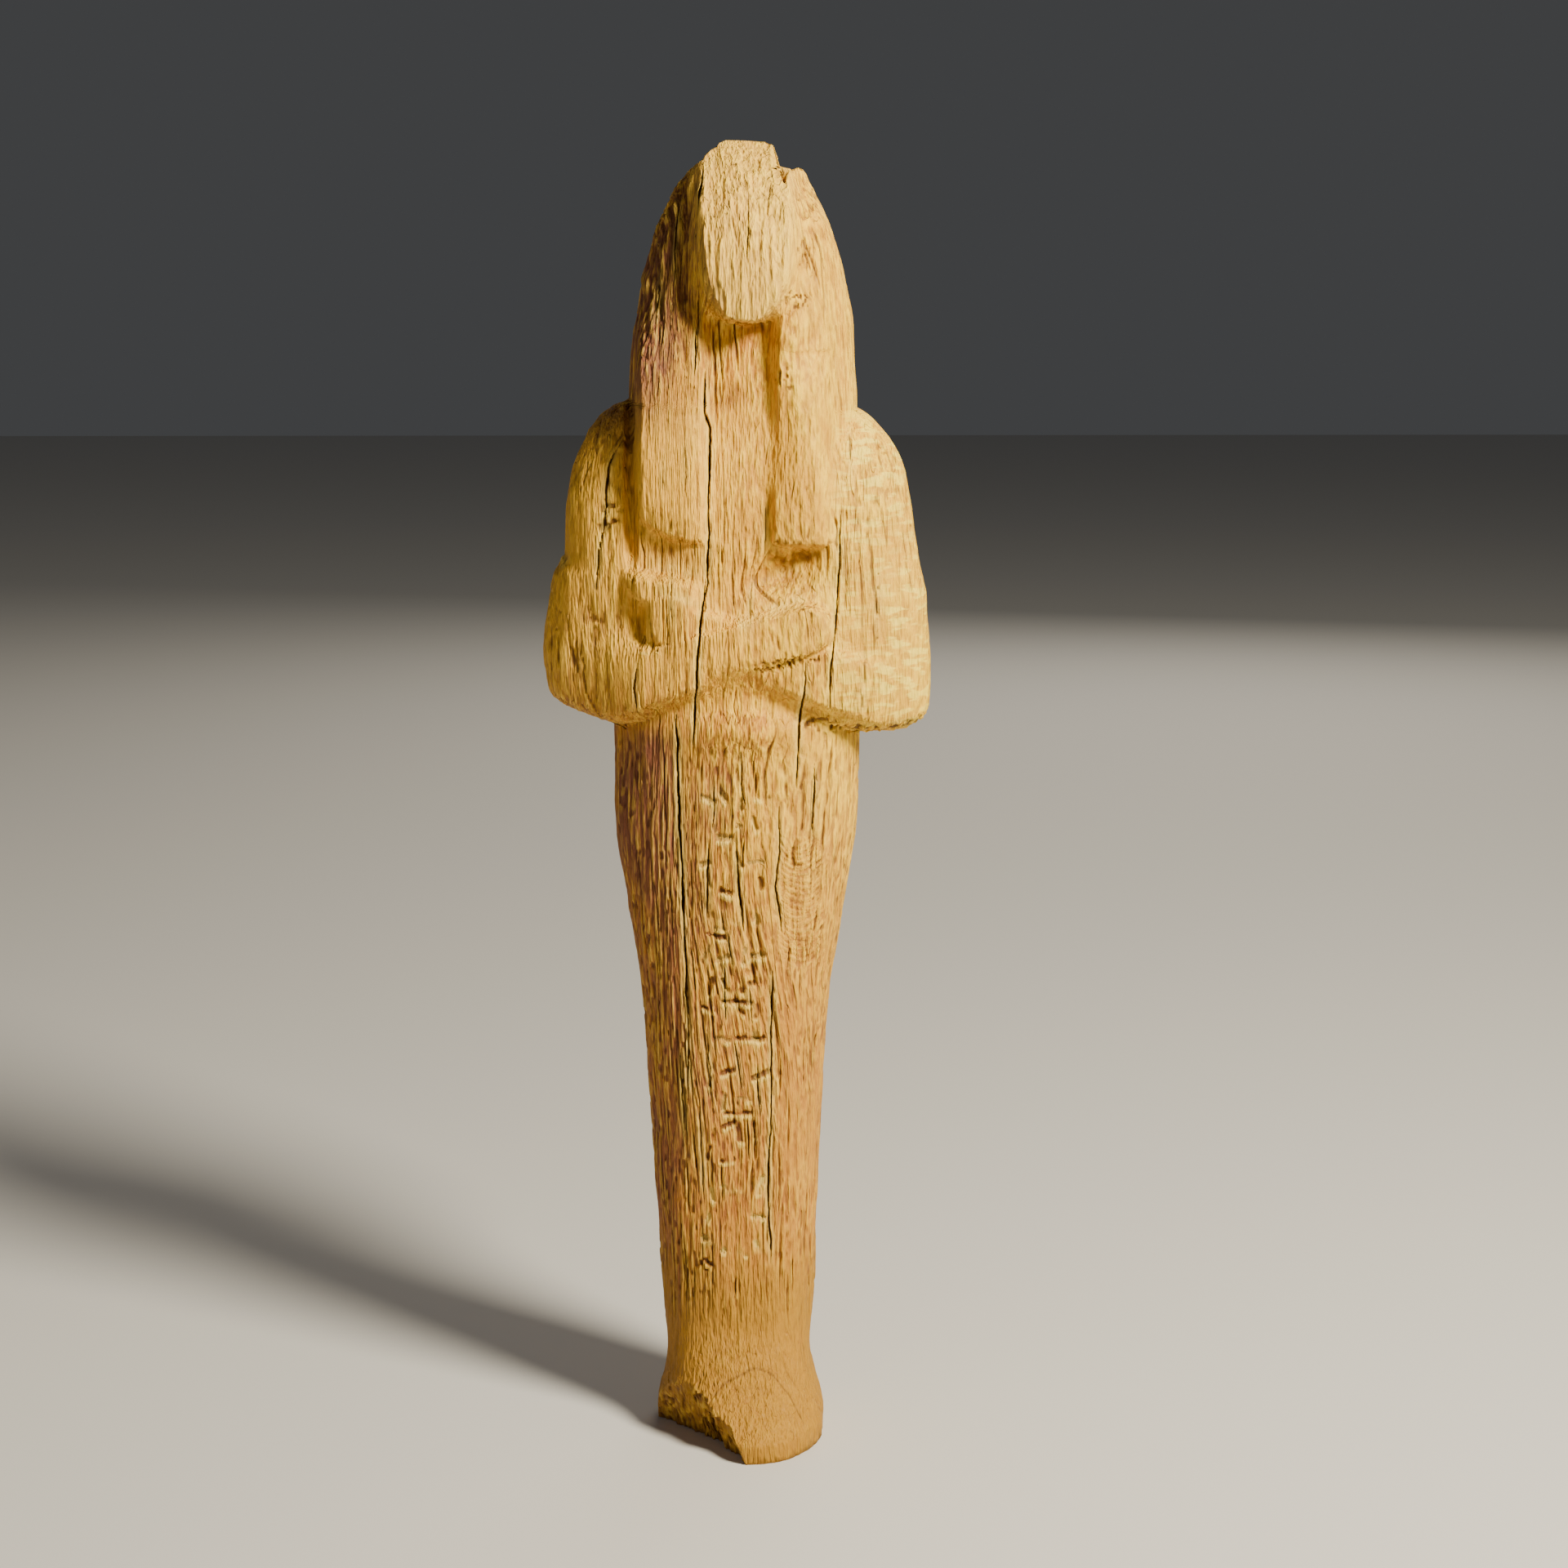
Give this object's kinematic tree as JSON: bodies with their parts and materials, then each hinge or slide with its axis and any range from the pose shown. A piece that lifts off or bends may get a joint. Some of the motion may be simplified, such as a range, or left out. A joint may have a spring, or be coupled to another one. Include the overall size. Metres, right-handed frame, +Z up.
{
  "type": "wooden ushabti figurine",
  "caption": "Carved wooden funerary figurine, mummy-shaped, with crossed arms and a long wig, its face split away and a front corner of the foot broken off.",
  "frame": {"origin": "on the flat underside of the foot, on the vertical axis of the legs", "axes": "+Z up through the crown, the figure faces -Y, +X is towards its left hand, which is the viewer's right"},
  "size_m": [0.0638, 0.0408, 0.215],
  "materials": {
    "carved_wood": "dry weathered hardwood, honey brown with darker patina in the hollows and a paler instep"
  },
  "bodies": {
    "root": {"ushabti_figure": "carved_wood"}
  },
  "joints": []
}
